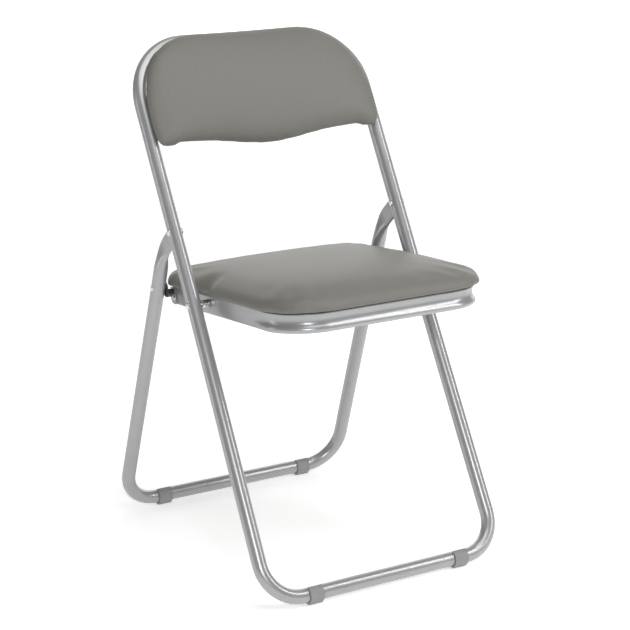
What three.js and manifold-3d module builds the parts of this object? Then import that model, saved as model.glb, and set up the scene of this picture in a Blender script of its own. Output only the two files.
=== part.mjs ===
// Padded folding chair: a looped front frame that carries the backrest, a U-shaped rear
// frame hinged inside it, and a seat hinged between the front legs.
// Millimetres, +Z up, front of the chair towards -Y, origin on the floor under the middle.
import * as THREE from 'three';
import { mergeVertices } from 'three/addons/utils/BufferGeometryUtils.js';
import Module from 'manifold-3d';

const wasm = await Module();
wasm.setup();

// Driving dimensions
const TUBE_R = 11;                     // frame tube, 22 mm outside
const TUBE_WALL = 1.2;
const TUBE_SIDES = 16;
const BORE_SIDES = 10;                // the bore is a plainer polygon than the outside
const GAP = 0.3;                       // clearance between pieces that touch
const BAR_Z = 14;                      // centre of the floor bars
const STANCE = 470;                    // front bar to rear bar, centre to centre
const FRONT_LEAN = rad(29.9);          // front frame leans back from vertical
const REAR_LEAN = rad(17.8);           // rear legs lean forward going up
const FOOT_HALF = 205.5;               // leg centre line from the middle plane, at the floor
const LEG_HALF = 201;                  // the same, from the seat pivot upwards
const SEAT_PIVOT_S = 455.4;            // pivot heights, measured along the front frame
const REAR_PIVOT_S = 571.4;
const ARCH_S = 875;                    // top of the loop's centre line
const ARCH_R = 101;
const FLOOR_BEND_R = 58;
const BACK_BOW = 10;                   // how far the backrest's middle lies behind its sides
const NECK_ANGLE = rad(46);            // rear leg's upper end, from vertical
const NECK_BEND_R = 60;
const NECK_RUN = 60;                   // straight leg above this height stays parallel to the middle
const TONGUE_R = 9;                    // rounded end of the flattened rear leg
const PRESSED_HALF = 2.5;              // half thickness of the flattened end
const SEAT_TILT = rad(5.3);            // front edge higher
const PAN_HALF = 176;                  // seat pan half width
const PAN_FRONT = -232;                // seat pan, measured from the seat pivot
const PAN_REAR = 120.5;
const PAN_TOP = 11.5;
const PAN_BOTTOM = -17.3;
const PAN_CORNER_R = { front: 68, rear: 6 };
const SHEET = 1.5;
const SEAT_PAD = { half: 187, front: -240, rear: 144, top: 42, frontR: 80, rearR: 46, bevel: 13 };
const SEAT_BOARD = { half: 173, front: -228, rear: 134, thick: 7.7, frontR: 66, rearR: 36 };
const ROD = { y: 112.5, z: 2.5, r: 5, half: 185.5 };
const PLATE_RIVET = { y: 108.9, z: -7.2 };
const BRACKET_RIVET_T = 415.5;         // height of the cradle rivet along the rear leg

const PIVOT_HEAD_R = 5.2;
const CRADLE_HEAD_R = 4.4;
const PLATE_HEAD = { radius: 3.9, height: 1.6 };

const METAL = { color: 0xa9abac, roughness: 0.36, metalness: 0.75 };
const BRIGHT = { color: 0xc9cbcc, roughness: 0.25, metalness: 0.9 };
const DARK = { color: 0x3a3b3d, roughness: 0.5, metalness: 0.6 };
const VINYL = { color: 0x8a8881, roughness: 0.5, metalness: 0 };
const PLASTIC = { color: 0x8c8c8c, roughness: 0.6, metalness: 0 };
const BOARD = { color: 0x6b5a45, roughness: 0.8, metalness: 0 };

function rad(degrees) {
  return (degrees * Math.PI) / 180;
}

function v(x, y, z) {
  return new THREE.Vector3(x, y, z);
}

const ALONG_X = v(1, 0, 0);
const ALONG_Y = v(0, 1, 0);

// ---- solids ----

function solidOf(geometry) {
  const bare = geometry.clone();
  bare.deleteAttribute('normal');
  bare.deleteAttribute('uv');
  const merged = mergeVertices(bare, 1e-3);
  const triVerts = new Uint32Array(merged.index.array);
  const vertProperties = new Float32Array(merged.attributes.position.array);
  return new wasm.Manifold(new wasm.Mesh({ numProp: 3, vertProperties, triVerts }));
}

function geometryOf(solid) {
  const mesh = solid.getMesh();
  const geometry = new THREE.BufferGeometry();
  geometry.setAttribute('position', new THREE.Float32BufferAttribute(mesh.vertProperties, 3));
  geometry.setIndex(new THREE.Uint32BufferAttribute(mesh.triVerts, 1));
  geometry.computeVertexNormals();
  return geometry;
}

// Cylinder from one point to another.
function pin(from, to, radius, sides = 12) {
  const along = to.clone().sub(from);
  const geometry = new THREE.CylinderGeometry(radius, radius, along.length(), sides);
  const turn = new THREE.Quaternion().setFromUnitVectors(v(0, 1, 0), along.clone().normalize());
  geometry.applyQuaternion(turn);
  const middle = from.clone().add(to).multiplyScalar(0.5);
  return solidOf(geometry.translate(middle.x, middle.y, middle.z));
}

// Outline in a plane, given its origin, two directions and a depth along their cross product.
function slab(shape, depth, origin, right, up, bevel = 0) {
  const settings = { depth, curveSegments: 5, bevelEnabled: bevel > 0 };
  Object.assign(settings, { bevelSize: bevel, bevelThickness: bevel, bevelOffset: -bevel });
  settings.bevelSegments = 2;
  const geometry = new THREE.ExtrudeGeometry(shape, settings);
  const place = new THREE.Matrix4().makeBasis(right, up, right.clone().cross(up));
  return solidOf(geometry.applyMatrix4(place.setPosition(origin)));
}

// ---- paths and tubes ----

// A path whose steps are its own points: long straight runs take one step, bends many.
class StationPath extends THREE.Curve {
  constructor(points) {
    super();
    this.points = points;
  }

  getPoint(t, target = v(0, 0, 0)) {
    const last = this.points.length - 1;
    const index = Math.min(Math.floor(t * last), last - 1);
    return target.lerpVectors(this.points[index], this.points[index + 1], t * last - index);
  }

  getUtoTmapping(u) {
    return u;
  }
}

// Points along corners joined by straight runs, each corner bent to its radius.
function bentPoints(corners, stepAngle = rad(15)) {
  const points = [corners[0].at];
  for (let i = 1; i < corners.length - 1; i += 1) {
    const { at, radius = 0 } = corners[i];
    const inward = at.clone().sub(corners[i - 1].at).normalize();
    const outward = corners[i + 1].at.clone().sub(at).normalize();
    const turn = inward.angleTo(outward);
    if (radius === 0 || turn < 1e-4) {
      points.push(at);
      continue;
    }
    const side = outward.clone().addScaledVector(inward, -Math.cos(turn)).normalize();
    const start = at.clone().addScaledVector(inward, -radius * Math.tan(turn / 2));
    const centre = start.clone().addScaledVector(side, radius);
    const steps = Math.ceil(turn / stepAngle);
    for (let k = 0; k <= steps; k += 1) {
      const angle = (turn * k) / steps;
      const arm = side.clone().multiplyScalar(-Math.cos(angle));
      points.push(centre.clone().addScaledVector(arm.addScaledVector(inward, Math.sin(angle)), radius));
    }
  }
  points.push(corners.at(-1).at);
  return points;
}

function circle(radius, sides) {
  const points = [];
  for (let i = 0; i < sides; i += 1) {
    const angle = (2 * Math.PI * i) / sides;
    points.push(new THREE.Vector2(radius * Math.cos(angle), radius * Math.sin(angle)));
  }
  return new THREE.Shape(points);
}

function tubeGeometry(points, radius, sides, closed = false) {
  const path = new StationPath(points);
  const settings = { steps: points.length - 1, extrudePath: path, bevelEnabled: false };
  const geometry = new THREE.ExtrudeGeometry(circle(radius, sides), settings);
  return closed ? withoutLids(geometry) : geometry;
}

// A loop that ends where it starts keeps its side faces and drops the two end faces.
function withoutLids(geometry) {
  const sides = geometry.groups[1];
  const from = sides.start * 3;
  const position = geometry.attributes.position.array.slice(from, from + sides.count * 3);
  const open = new THREE.BufferGeometry();
  open.setAttribute('position', new THREE.Float32BufferAttribute(position, 3));
  return open;
}

// ---- front frame plane ----

const BAR_Y = STANCE / 2;
const IN_FRONT = v(0, -Math.cos(FRONT_LEAN), Math.sin(FRONT_LEAN));
const UP_FRAME = v(0, Math.sin(FRONT_LEAN), Math.cos(FRONT_LEAN));

// x across, s up along the front frame, n in front of it.
function onFront(x, s, n = 0) {
  const foot = v(x, -BAR_Y, BAR_Z);
  return foot.addScaledVector(UP_FRAME, s).addScaledVector(IN_FRONT, n);
}

function bow(x) {
  return -BACK_BOW * (1 - (x / LEG_HALF) ** 2);
}

function frontLoopPoints() {
  const flat = [{ at: v(0, 0, 0) }];
  flat.push({ at: v(FOOT_HALF, 0, 0), radius: FLOOR_BEND_R });
  flat.push({ at: v(LEG_HALF, SEAT_PIVOT_S, 0) });
  flat.push({ at: v(LEG_HALF, ARCH_S, 0), radius: ARCH_R });
  const runs = 4;
  for (let i = 1; i <= runs; i += 1) {
    flat.push({ at: v((LEG_HALF - ARCH_R) * (1 - i / runs), ARCH_S, 0) });
  }
  const right = bentPoints(flat);
  const left = right.slice(1, -1).reverse().map((p) => v(-p.x, p.y, p.z));
  const loop = [...right, ...left, right[0].clone()];
  return loop.map((p) => onFront(p.x, p.y, p.y > SEAT_PIVOT_S ? bow(p.x) : 0));
}

const REAR_PIVOT = onFront(0, REAR_PIVOT_S);
const SEAT_PIVOT = onFront(0, SEAT_PIVOT_S);

function across(point, x) {
  return v(x, point.y, point.z);
}

// Slot in the back of an upright, where the flattened end of the rear leg swings.
function tongueSlot(side) {
  const half = PRESSED_HALF + 0.6;
  const [low, high] = [-64, 13];
  const shape = new THREE.Shape();
  shape.moveTo(-half, low + half);
  shape.absarc(0, low + half, half, Math.PI, 2 * Math.PI);
  shape.lineTo(half, high - half);
  shape.absarc(0, high - half, half, 0, Math.PI);
  const depth = TUBE_R + 2;
  const origin = onFront(side * LEG_HALF, REAR_PIVOT_S, -depth);
  return slab(shape, depth, origin, v(1, 0, 0), UP_FRAME);
}

const LUG = { x: 183, half: 9, thick: 2 };
const LUG_S = [724, 778];

// Welded lug on the inside of an upright, for a backrest screw.
function lug(side, s) {
  const shape = new THREE.Shape();
  const inner = -side * LUG.half;
  const outer = side * (LEG_HALF - LUG.x - TUBE_R + 4);
  const [low, high] = [Math.min(inner, outer), Math.max(inner, outer)];
  shape.moveTo(low, -LUG.half);
  shape.lineTo(high, -LUG.half);
  shape.lineTo(high, LUG.half);
  shape.lineTo(low, LUG.half);
  const back = bow(LUG.x) + TUBE_R - LUG.thick - 2;
  return slab(shape, LUG.thick, onFront(side * LUG.x, s, back), v(1, 0, 0), UP_FRAME);
}

function frontFrame() {
  const points = frontLoopPoints();
  let frame = solidOf(tubeGeometry(points, TUBE_R, TUBE_SIDES, true));
  for (const side of [-1, 1]) {
    for (const s of LUG_S) {
      frame = frame.add(lug(side, s));
    }
  }
  frame = frame.subtract(solidOf(tubeGeometry(points, TUBE_R - TUBE_WALL, BORE_SIDES, true)));
  for (const side of [-1, 1]) {
    const [inside, outside] = [side * (LEG_HALF - 14), side * (LEG_HALF + 14)];
    frame = frame.subtract(tongueSlot(side));
    frame = frame.subtract(pin(across(REAR_PIVOT, inside), across(REAR_PIVOT, outside), RIVET_R + GAP));
    frame = frame.subtract(pin(across(SEAT_PIVOT, inside), across(SEAT_PIVOT, outside), RIVET_R + GAP));
    for (const s of LUG_S) {
      const [back, front] = [onFront(side * LUG.x, s, -10), onFront(side * LUG.x, s, 20)];
      frame = frame.subtract(pin(back, front, SCREW_R + GAP));
    }
  }
  return frame;
}

// ---- rear frame ----

const UP_REAR = v(0, -Math.sin(REAR_LEAN), Math.cos(REAR_LEAN));
const NECK_DIR = v(0, -Math.sin(NECK_ANGLE), Math.cos(NECK_ANGLE));

// x across, t up along the straight rear leg.
function onRear(x, t) {
  return v(x, BAR_Y, BAR_Z).addScaledVector(UP_REAR, t);
}

function rearHalf(t) {
  const share = Math.min(t / (neckCorner() - NECK_RUN), 1);
  return FOOT_HALF - (FOOT_HALF - LEG_HALF) * share;
}

// Where the straight leg's line meets the neck's line through the rear pivot.
function neckCorner() {
  const toPivot = REAR_PIVOT.clone().sub(onRear(0, 0));
  const along = toPivot.dot(UP_REAR);
  const offset = toPivot.clone().addScaledVector(UP_REAR, -along).length();
  return along - offset / Math.tan(NECK_ANGLE - REAR_LEAN);
}

// Distance of a point below the rear pivot, along the leg.
function belowPivot(point) {
  return across(REAR_PIVOT, 0).sub(across(point, 0)).dot(NECK_DIR);
}

// Half thickness and half width of the leg at a distance u below the rear pivot.
function legSection(u) {
  const thick = smooth(u, 40, 84, PRESSED_HALF, TUBE_R);
  if (u < 0) {
    return { thick, wide: Math.sqrt(Math.max(TONGUE_R ** 2 - u ** 2, 1)) };
  }
  const wide = smooth(u, 0, 22, TONGUE_R, 15) + smooth(u, 44, 86, 0, TUBE_R - 15);
  return { thick, wide };
}

function smooth(value, from, to, low, high) {
  const t = Math.min(Math.max((value - from) / (to - from), 0), 1);
  return low + (high - low) * t * t * (3 - 2 * t);
}

// Points down one leg from the rounded tongue to the round tube.
function neckPoints(x) {
  const corner = neckCorner();
  const bend = [{ at: across(REAR_PIVOT, x) }];
  bend.push({ at: onRear(x, corner), radius: NECK_BEND_R });
  bend.push({ at: onRear(x, corner - NECK_RUN) });
  const points = [];
  for (const u of [-8.9, -7.2, -4]) {
    points.push(across(REAR_PIVOT, x).addScaledVector(NECK_DIR, -u));
  }
  const [top, ...rest] = bentPoints(bend, rad(8));
  points.push(top);
  for (const u of [10, 22]) {
    points.push(top.clone().addScaledVector(NECK_DIR, -u));
  }
  const lower = rest.at(-1);
  const bendEnd = rest.at(-2);
  points.push(...rest.slice(0, -1));
  for (const share of [0.35, 0.7]) {
    points.push(bendEnd.clone().lerp(lower, share));
  }
  points.push(lower);
  return points;
}

function rearPathPoints() {
  const neck = neckPoints(LEG_HALF);
  const lowest = neck.at(-1);
  const floor = [{ at: lowest }];
  floor.push({ at: onRear(FOOT_HALF, 0), radius: FLOOR_BEND_R });
  floor.push({ at: onRear(0, 0) });
  const right = [...neck.slice(0, -1), ...bentPoints(floor)];
  const left = right.slice(0, -1).reverse().map((p) => v(-p.x, p.y, p.z));
  return [...right, ...left];
}

// Presses the round tube flat towards its two ends.
function pressEnds(geometry, stations) {
  const position = geometry.attributes.position;
  for (let i = 0; i < position.count; i += 1) {
    const point = new THREE.Vector3().fromBufferAttribute(position, i);
    const centre = nearest(stations, point);
    const { thick, wide } = legSection(belowPivot(centre));
    const offset = point.sub(centre);
    const scale = centre.z > REAR_PIVOT.z / 2 ? [thick / TUBE_R, wide / TUBE_R] : [1, 1];
    position.setXYZ(i, centre.x + offset.x * scale[0], centre.y + offset.y * scale[1],
      centre.z + offset.z * scale[1]);
  }
  return geometry;
}

function nearest(stations, point) {
  return stations.reduce((best, p) => (p.distanceTo(point) < best.distanceTo(point) ? p : best));
}

function rearFrame() {
  const path = rearPathPoints();
  let frame = solidOf(pressEnds(tubeGeometry(path, TUBE_R, TUBE_SIDES), path));
  const round = path.filter((p) => belowPivot(p) > 92);
  frame = frame.subtract(solidOf(tubeGeometry(round, TUBE_R - TUBE_WALL, BORE_SIDES)));
  for (const side of [-1, 1]) {
    const [inside, outside] = [side * (LEG_HALF - 14), side * (LEG_HALF + 14)];
    frame = frame.subtract(pin(across(REAR_PIVOT, inside), across(REAR_PIVOT, outside), RIVET_R + GAP));
    const rivet = onRear(0, BRACKET_RIVET_T);
    frame = frame.subtract(pin(across(rivet, inside), across(rivet, outside), SMALL_RIVET_R + GAP));
  }
  return frame;
}

// ---- rivets, spacers and screws ----

const RIVET_R = 3;
const SMALL_RIVET_R = 2.4;
const SCREW_R = 2;

// Domed rivet along X: round head outside at xHead, shank, and a flatter head at xTail.
function rivet(point, side, xHead, xTail, radius, headR, tube) {
  const [head, tail] = [across(point, side * xHead), across(point, side * xTail)];
  const dome = headProfile(headR, 1.9, 3);
  const out = new THREE.Quaternion().setFromUnitVectors(v(0, 1, 0), v(side, 0, 0));
  const cap = solidOf(dome.applyQuaternion(out).translate(head.x, head.y, head.z));
  const foot = pin(tail, across(point, side * (xTail - 1.4)), headR * 0.8);
  const seated = tube ? cap.subtract(tube) : cap;
  return seated.add(foot).add(pin(across(point, side * (xHead + 0.5)), tail, radius, 16));
}

// Solid of revolution about Y: a dome of this radius and height on a short skirt below zero.
function headProfile(radius, height, skirt) {
  const profile = [new THREE.Vector2(0, -skirt), new THREE.Vector2(radius, -skirt)];
  const arcs = 3;
  for (let i = 0; i <= arcs; i += 1) {
    const angle = (Math.PI / 2) * (i / arcs);
    profile.push(new THREE.Vector2(radius * Math.cos(angle), height * Math.sin(angle)));
  }
  profile.at(-1).x = 0;
  return new THREE.LatheGeometry(profile, 12);
}

// Round stock that stands for a tube's outside, with the gap, where a rivet head sits on it.
function tubeOutside(x, from, to) {
  return pin(across(from, x), across(to, x), TUBE_R + GAP, 16);
}

function frontTubeAt(s, side) {
  return tubeOutside(side * LEG_HALF, onFront(0, s - 15), onFront(0, s + 15));
}

function rearTubeAt(t, side) {
  return tubeOutside(side * rearHalf(t), onRear(0, t - 15), onRear(0, t + 15));
}

function rearPivotRivet(side) {
  const [skin, tail] = [LEG_HALF + TUBE_R, LEG_HALF - TUBE_R - GAP];
  const seatOn = frontTubeAt(REAR_PIVOT_S, side);
  return rivet(REAR_PIVOT, side, skin, tail, RIVET_R, PIVOT_HEAD_R, seatOn);
}

function seatPivotRivet(side) {
  const [skin, tail] = [LEG_HALF + TUBE_R, PAN_HALF - SHEET - GAP];
  const seatOn = frontTubeAt(SEAT_PIVOT_S, side);
  return rivet(SEAT_PIVOT, side, skin, tail, RIVET_R, PIVOT_HEAD_R, seatOn);
}

function seatSpacer(side) {
  const [inside, outside] = [side * (PAN_HALF + GAP), side * (LEG_HALF - TUBE_R - GAP)];
  const sleeve = pin(across(SEAT_PIVOT, inside), across(SEAT_PIVOT, outside), 6, 20);
  const bore = pin(across(SEAT_PIVOT, inside - side), across(SEAT_PIVOT, outside + side), RIVET_R + GAP);
  return sleeve.subtract(bore);
}

function bracketRivet(side) {
  const point = onRear(0, BRACKET_RIVET_T);
  const half = rearHalf(BRACKET_RIVET_T);
  const tail = half - TUBE_R - 2 * GAP - BRACKET.sheet;
  const seatOn = rearTubeAt(BRACKET_RIVET_T, side);
  return rivet(point, side, half + TUBE_R, tail, SMALL_RIVET_R, CRADLE_HEAD_R, seatOn);
}

// Pan-head screw at a point, its shank along a direction.
function screw(point, direction, length) {
  const head = headProfile(3.8, 1.6, 0.6);
  const turn = new THREE.Quaternion().setFromUnitVectors(v(0, 1, 0), direction.clone().negate());
  const cap = solidOf(head.applyQuaternion(turn).translate(point.x, point.y, point.z));
  return cap.add(pin(point, point.clone().addScaledVector(direction, length), SCREW_R, 12));
}

// ---- feet ----

// Plastic clip on a floor bar: it wraps the front and the bottom, and its base is flat.
const CLIP = { half: 12, wall: 2.3, baseHalf: 6.5 };

function footClip(x, y) {
  const [inner, outer] = [TUBE_R + GAP, TUBE_R + GAP + CLIP.wall];
  const [start, end] = [rad(100), rad(350)];
  const shape = new THREE.Shape();
  shape.absarc(0, 0, outer, start, rad(238), false);
  shape.lineTo(-CLIP.baseHalf, -BAR_Z);
  shape.lineTo(CLIP.baseHalf, -BAR_Z);
  shape.absarc(0, 0, outer, rad(302), end, false);
  const middle = (start + end) / 2;
  shape.absarc(0, 0, inner, end, middle, true);
  shape.absarc(0, 0, inner, middle, start, true);
  return slab(shape, CLIP.half * 2, v(x - CLIP.half, y, BAR_Z), ALONG_Y, v(0, 0, 1));
}

// ---- cradle brackets on the rear legs ----

const BRACKET = { sheet: 1.8, lip: 2, inner: ROD.r + 0.4 };

// Point in the seat's own plane (y rearwards, z upwards, from the seat pivot) as a world point.
function onSeat(x, y, z) {
  const point = v(x, y, z).applyAxisAngle(v(1, 0, 0), -SEAT_TILT);
  return point.add(across(SEAT_PIVOT, 0));
}

// Trough that the seat's rear rod rests in, open up and to the rear, and the plate behind it.
function cradleBracket(side) {
  const rodAt = onSeat(0, ROD.y, ROD.z);
  const rivetAt = onRear(0, BRACKET_RIVET_T);
  const face = rearHalf(BRACKET_RIVET_T) - TUBE_R - GAP;
  const trough = new THREE.Shape();
  const [front, rear] = [Math.PI, 2 * Math.PI - rad(32)];
  const outer = BRACKET.inner + BRACKET.lip;
  trough.absarc(0, 0, outer, front, rear, false);
  trough.absarc(0, 0, BRACKET.inner, rear, front, true);
  const [east, up] = [v(0, 1, 0), v(0, 0, 1)];
  const reach = face - 180.6;
  const troughStart = side > 0 ? face - reach : -face;
  const channel = slab(trough, reach, across(rodAt, troughStart), east, up);
  const plate = linkPlate(rivetAt, rodAt, 8, outer);
  const plateStart = side > 0 ? face - BRACKET.sheet : -face;
  const back = slab(plate, BRACKET.sheet, v(plateStart, 0, 0), east, up);
  const ends = [across(rivetAt, side * (face + 3)), across(rivetAt, side * (face - 5))];
  return back.add(channel).subtract(pin(ends[0], ends[1], SMALL_RIVET_R + GAP, 16));
}

// Outline round two discs in the YZ plane.
function linkPlate(a, b, ra, rb) {
  const heading = Math.atan2(b.z - a.z, b.y - a.y);
  const spread = Math.acos((ra - rb) / Math.hypot(b.z - a.z, b.y - a.y));
  const shape = new THREE.Shape();
  shape.absarc(a.y, a.z, ra, heading + spread, heading - spread + 2 * Math.PI, false);
  shape.absarc(b.y, b.z, rb, heading - spread, heading + spread, false);
  return shape;
}

// ---- seat, in its own plane: x across, y rearwards and z up from the seat pivot ----

function roundedOutline(half, front, rear, frontR, rearR) {
  const shape = new THREE.Shape();
  shape.moveTo(-half + frontR, front);
  shape.lineTo(half - frontR, front);
  shape.absarc(half - frontR, front + frontR, frontR, -Math.PI / 2, 0);
  shape.lineTo(half, rear - rearR);
  shape.absarc(half - rearR, rear - rearR, rearR, 0, Math.PI / 2);
  shape.lineTo(-half + rearR, rear);
  shape.absarc(-half + rearR, rear - rearR, rearR, Math.PI / 2, Math.PI);
  shape.lineTo(-half, front + frontR);
  shape.absarc(-half + frontR, front + frontR, frontR, Math.PI, 1.5 * Math.PI);
  return shape;
}

// The pan's outline, moved inwards by an inset.
function panSlab(inset, low, high) {
  const frontR = PAN_CORNER_R.front - inset;
  const rearR = Math.max(PAN_CORNER_R.rear - inset, 2);
  const outline = roundedOutline(PAN_HALF - inset, PAN_FRONT + inset, PAN_REAR - inset, frontR, rearR);
  return slab(outline, high - low, v(0, 0, low), ALONG_X, ALONG_Y);
}

// Side view of the pan, whose lower rear corner is rounded off.
function panProfile() {
  const corner = 11;
  const shape = new THREE.Shape();
  shape.moveTo(PAN_FRONT - 5, PAN_BOTTOM);
  shape.lineTo(PAN_REAR - corner, PAN_BOTTOM);
  shape.absarc(PAN_REAR - corner, PAN_BOTTOM + corner, corner, -Math.PI / 2, 0);
  shape.lineTo(PAN_REAR, PAN_TOP);
  shape.lineTo(PAN_FRONT - 5, PAN_TOP);
  return slab(shape, 2 * PAN_HALF + 10, v(-PAN_HALF - 5, 0, 0), ALONG_Y, v(0, 0, 1));
}

const SEAT_SCREWS = [[-110, -204], [110, -204], [-120, 85], [120, 85]];
const FLANGE = 52;
const LIP = 10;

function crossHole(y, z, radius) {
  return pin(v(-PAN_HALF - 5, y, z), v(PAN_HALF + 5, y, z), radius);
}

function seatPan() {
  let pan = panSlab(0, PAN_BOTTOM, PAN_TOP).intersect(panProfile());
  pan = pan.subtract(panSlab(SHEET, PAN_BOTTOM + SHEET, PAN_TOP - SHEET));
  pan = pan.subtract(panSlab(LIP, PAN_BOTTOM - 1, PAN_BOTTOM + 3));
  pan = pan.subtract(panSlab(FLANGE, PAN_TOP - 3, PAN_TOP + 1));
  pan = pan.subtract(crossHole(0, 0, RIVET_R + GAP));
  pan = pan.subtract(crossHole(ROD.y, ROD.z, ROD.r + GAP));
  pan = pan.subtract(crossHole(PLATE_RIVET.y, PLATE_RIVET.z, SMALL_RIVET_R + GAP));
  for (const [x, y] of SEAT_SCREWS) {
    pan = pan.subtract(pin(v(x, y, PAN_TOP - 3), v(x, y, PAN_TOP + 1), SCREW_R + GAP, 12));
  }
  return pan;
}

const BOARD_LOW = PAN_TOP + GAP;   // the board lies on the pan, under the pad
const BOARD_HIGH = BOARD_LOW + SEAT_BOARD.thick;

function seatBoardSlab(grow, low, high) {
  const { half, front, rear, frontR, rearR } = SEAT_BOARD;
  const outline = roundedOutline(half + grow, front - grow, rear + grow, frontR + grow, rearR + grow);
  return slab(outline, high - low, v(0, 0, low), ALONG_X, ALONG_Y);
}

function seatBoard() {
  let board = seatBoardSlab(0, BOARD_LOW, BOARD_HIGH);
  for (const [x, y] of SEAT_SCREWS) {
    board = board.subtract(pin(v(x, y, PAN_TOP - 3), v(x, y, PAN_TOP + 6), SCREW_R + GAP, 12));
  }
  return board;
}

function seatPad() {
  const { half, front, rear, top, frontR, rearR, bevel } = SEAT_PAD;
  const outline = roundedOutline(half, front, rear, frontR, rearR);
  const depth = top - BOARD_LOW - 2 * bevel;
  const pad = slab(outline, depth, v(0, 0, BOARD_LOW + bevel), ALONG_X, ALONG_Y, bevel);
  return pad.subtract(seatBoardSlab(GAP, BOARD_LOW - 2, BOARD_HIGH + GAP));
}

function rearRod() {
  return pin(v(-ROD.half, ROD.y, ROD.z), v(ROD.half, ROD.y, ROD.z), ROD.r, 18);
}

// Doubling plate on the outside of a rail's rear end, round the rod's hole.
function railPlate(side) {
  const corner = 10;
  const [front, rear] = [PAN_REAR - 17.5, PAN_REAR - 0.5];
  const [low, high] = [PAN_BOTTOM + 0.5, PAN_TOP - 2];
  const shape = new THREE.Shape();
  shape.moveTo(front, low);
  shape.lineTo(rear - corner, low);
  shape.absarc(rear - corner, low + corner, corner, -Math.PI / 2, 0);
  shape.lineTo(rear, high);
  shape.lineTo(front, high);
  const inside = PAN_HALF + GAP;
  const start = side > 0 ? inside : -inside - SHEET;
  const plate = slab(shape, SHEET, v(start, 0, 0), ALONG_Y, v(0, 0, 1));
  const cleared = plate.subtract(crossHole(ROD.y, ROD.z, ROD.r + GAP));
  return cleared.subtract(crossHole(PLATE_RIVET.y, PLATE_RIVET.z, SMALL_RIVET_R + GAP));
}

function plateRivet(side) {
  const point = v(0, PLATE_RIVET.y, PLATE_RIVET.z);
  const outside = PAN_HALF + 2 * GAP + SHEET;
  const dome = headProfile(PLATE_HEAD.radius, PLATE_HEAD.height, 0);
  const out = new THREE.Quaternion().setFromUnitVectors(v(0, 1, 0), v(side, 0, 0));
  const cap = solidOf(dome.applyQuaternion(out).translate(side * outside, point.y, point.z));
  const tail = PAN_HALF - SHEET - GAP;
  const foot = pin(across(point, side * tail), across(point, side * (tail - 1.3)), 3.4);
  const [from, to] = [across(point, side * (outside + 0.5)), across(point, side * tail)];
  return cap.add(foot).add(pin(from, to, SMALL_RIVET_R, 16));
}

function seatScrew(x, y) {
  return screw(v(x, y, PAN_TOP - SHEET - 1), v(0, 0, 1), 6.5);
}

// ---- backrest ----

// Backrest outline in the frame plane: x across, s up the frame.
const BACK = { middle: 693, shoulder: 706, shoulderX: 140, side: 200, top: 878, flatX: 86 };

function backOutline(inset) {
  const shape = new THREE.Shape();
  const [lower, shoulder, upper] = [BACK.middle + inset, BACK.shoulder + inset, BACK.top - inset];
  const side = BACK.side - inset;
  shape.moveTo(0, lower);
  shape.bezierCurveTo(58, lower, 72, shoulder, BACK.shoulderX, shoulder);
  shape.bezierCurveTo(168, shoulder, side - 5, 690 + inset, side - 2, 716);
  shape.bezierCurveTo(side + 1, 740, side + 1, 765, side - 4, 785);
  shape.bezierCurveTo(side - 14, 835, 152, upper, BACK.flatX, upper);
  shape.lineTo(-BACK.flatX, upper);
  shape.bezierCurveTo(-152, upper, -side + 14, 835, -side + 4, 785);
  shape.bezierCurveTo(-side - 1, 765, -side - 1, 740, -side + 2, 716);
  shape.bezierCurveTo(-side + 5, 690 + inset, -168, shoulder, -BACK.shoulderX, shoulder);
  shape.bezierCurveTo(-72, shoulder, -58, lower, 0, lower);
  return shape;
}

// Bowed sheet between two distances in front of the frame, cut to an outline.
function bowedSlab(inset, back, front) {
  const section = new THREE.Shape();
  section.moveTo(back, 660);
  section.lineTo(front, 660);
  section.lineTo(front, 900);
  section.lineTo(back, 900);
  const points = [];
  const runs = 12;
  for (let i = 0; i <= runs; i += 1) {
    const x = LEG_HALF * 1.06 * (2 * (i / runs) - 1);
    points.push(v(x, 0, bow(x)));
  }
  const sheet = bowedStrip(section, points);
  const prism = slab(backOutline(inset), 120, onFront(0, 0, -60), v(1, 0, 0), UP_FRAME);
  return sheet.intersect(prism);
}

// The sheet's section (n, s) carried across the chair along the bowed line.
function bowedStrip(section, points) {
  const settings = { steps: points.length - 1, depth: 1, bevelEnabled: false };
  const geometry = new THREE.ExtrudeGeometry(section, settings);
  const position = geometry.attributes.position;
  for (let i = 0; i < position.count; i += 1) {
    const station = points[Math.round(position.getZ(i) * (points.length - 1))];
    const place = onFront(station.x, position.getY(i), position.getX(i) + station.z);
    position.setXYZ(i, place.x, place.y, place.z);
  }
  const solid = solidOf(geometry);
  return solid.volume() > 0 ? solid : solidOf(flipped(geometry));
}

function flipped(geometry) {
  const bare = geometry.clone();
  const position = bare.attributes.position;
  for (let i = 0; i < position.count; i += 3) {
    const a = new THREE.Vector3().fromBufferAttribute(position, i + 1);
    const b = new THREE.Vector3().fromBufferAttribute(position, i + 2);
    position.setXYZ(i + 1, b.x, b.y, b.z);
    position.setXYZ(i + 2, a.x, a.y, a.z);
  }
  return bare;
}

const BACK_BOARD = { back: TUBE_R + GAP, front: TUBE_R + 6, inset: 9 };
const BACK_PAD_FRONT = TUBE_R + 19;

function backBoard() {
  let board = bowedSlab(BACK_BOARD.inset, BACK_BOARD.back, BACK_BOARD.front);
  for (const side of [-1, 1]) {
    for (const s of LUG_S) {
      const [from, to] = [onFront(side * LUG.x, s, 0), onFront(side * LUG.x, s, TUBE_R + 3)];
      board = board.subtract(pin(from, to, SCREW_R + GAP, 12));
    }
  }
  return board;
}

function backPad() {
  const pad = bowedSlab(0, BACK_BOARD.back, BACK_PAD_FRONT);
  return pad.subtract(bowedSlab(BACK_BOARD.inset - GAP, BACK_BOARD.back - 2, BACK_BOARD.front + GAP));
}

function backScrew(side, s) {
  const lugBack = bow(LUG.x) + TUBE_R - LUG.thick - 2;
  return screw(onFront(side * LUG.x, s, lugBack - 1), IN_FRONT, 7.5);
}

// ---- assembly ----

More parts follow.
